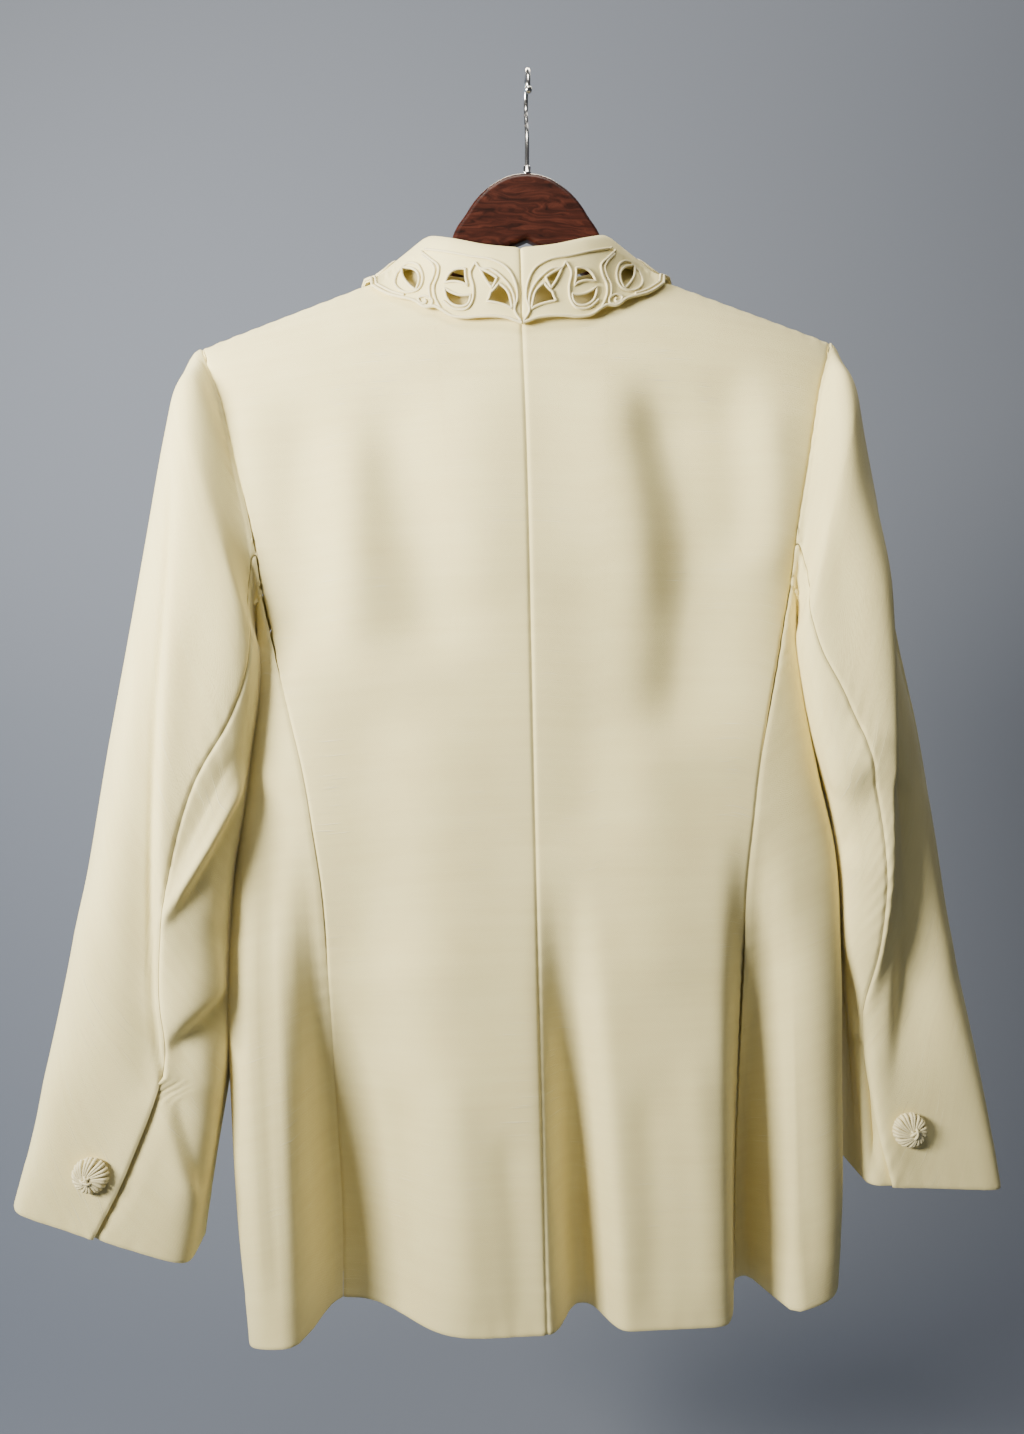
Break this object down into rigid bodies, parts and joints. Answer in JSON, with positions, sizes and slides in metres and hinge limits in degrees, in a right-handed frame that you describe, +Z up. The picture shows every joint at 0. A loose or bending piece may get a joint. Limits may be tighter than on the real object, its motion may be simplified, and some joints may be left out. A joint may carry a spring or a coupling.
{
  "type": "suit jacket on a coat hanger",
  "caption": "Cream suit jacket closed on a wooden coat hanger with a steel hook; fitted body with folds at the hem, two-piece sleeves and a collar cut through with leaf openings.",
  "frame": {"origin": "inside of the top of the hook's bend, where it rests on a rail", "axes": "+Z up, +X to the right as seen from the jacket's back, +Y towards the jacket's front"},
  "size_m": [0.646, 0.1352, 0.8489],
  "materials": {
    "cloth": "plain weave with fine slubs, low sheen",
    "satin_cord": "satin cord",
    "hanger_wood": "red-brown gloss lacquer",
    "hook_steel": "polished"
  },
  "bodies": {
    "root": {"back_left": "cloth", "back_right": "cloth", "side_left": "cloth", "side_right": "cloth", "front_left": "cloth", "front_right": "cloth", "top_sleeve_left": "cloth", "top_sleeve_right": "cloth", "under_sleeve_left": "cloth", "under_sleeve_right": "cloth", "collar_left": "cloth", "collar_right": "cloth", "cuff_button_left": "satin_cord", "cuff_button_right": "satin_cord", "front_button_1": "satin_cord", "front_button_2": "satin_cord", "front_button_3": "satin_cord", "hanger_body": "hanger_wood", "hanger_hook": "hook_steel"}
  },
  "joints": []
}
